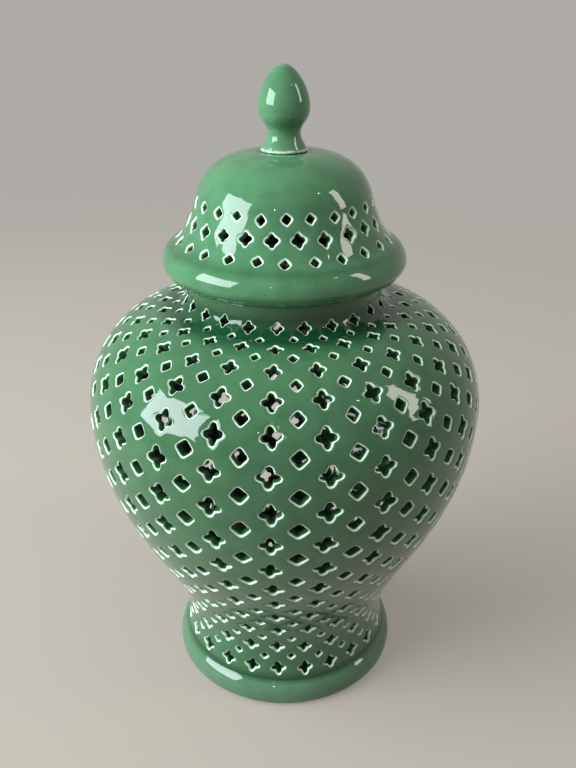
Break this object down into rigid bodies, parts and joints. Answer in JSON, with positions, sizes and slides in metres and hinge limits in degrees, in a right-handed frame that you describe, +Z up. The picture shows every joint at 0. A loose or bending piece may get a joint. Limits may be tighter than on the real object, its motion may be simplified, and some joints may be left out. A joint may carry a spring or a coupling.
{
  "type": "ginger jar",
  "caption": "Pierced ceramic ginger jar: bulging latticed body on a waisted foot, short neck, and a lift-off domed lid with a rounded brim and a bud knob.",
  "frame": {"origin": "on the floor under the foot pads, on the jar's axis", "axes": "+Z up along the jar's axis, through the knob; -Y is the front"},
  "size_m": [0.2218, 0.2218, 0.356],
  "materials": {
    "jar_glaze": "glossy translucent green glaze, paler on edges and darker where it pools",
    "lid_glaze": "glossy translucent green glaze, paler on edges and darker where it pools",
    "knob_glaze": "glossy translucent green glaze",
    "pad_felt": "dense white felt"
  },
  "bodies": {
    "jar": {"jar_body": "jar_glaze", "pad_1": "pad_felt", "pad_2": "pad_felt", "pad_3": "pad_felt", "pad_4": "pad_felt"},
    "lid": {"lid_shell": "lid_glaze", "lid_ring": "lid_glaze", "lid_knob": "knob_glaze"}
  },
  "joints": [
    {"name": "lid_lift", "type": "slide", "parent": "jar", "child": "lid", "axis": [0, 0, 1], "range_m": [0, 0.08]}
  ]
}
